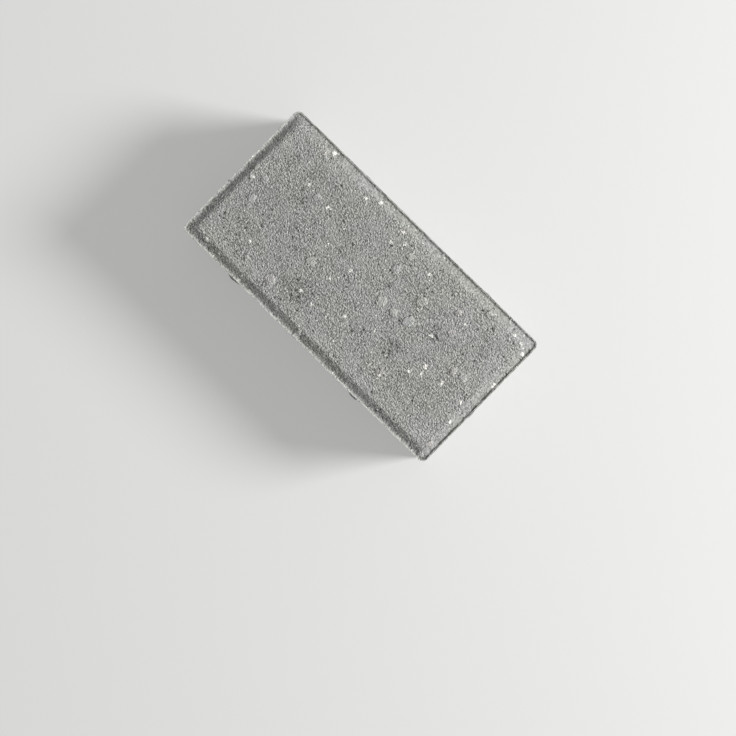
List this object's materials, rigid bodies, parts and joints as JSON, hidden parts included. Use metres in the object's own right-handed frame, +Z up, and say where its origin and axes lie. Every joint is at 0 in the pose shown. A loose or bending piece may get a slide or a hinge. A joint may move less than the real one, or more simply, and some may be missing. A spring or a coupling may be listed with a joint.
{
  "type": "concrete paving stone",
  "caption": "Rectangular pressed concrete paving stone with a bevelled top margin, a fine raised lip round it and spacer nibs on its sides.",
  "frame": {"origin": "centre of the bed face, the underside that lies on the laying course", "axes": "+X along the length, +Y across the width, +Z up from the bed face to the wearing face"},
  "size_m": [0.201, 0.101, 0.06],
  "materials": {
    "concrete": "bare grey pressed concrete, matt and finely sandy, with pale and dark grains and small pits"
  },
  "bodies": {
    "root": {"paving_stone": "concrete"}
  },
  "joints": []
}
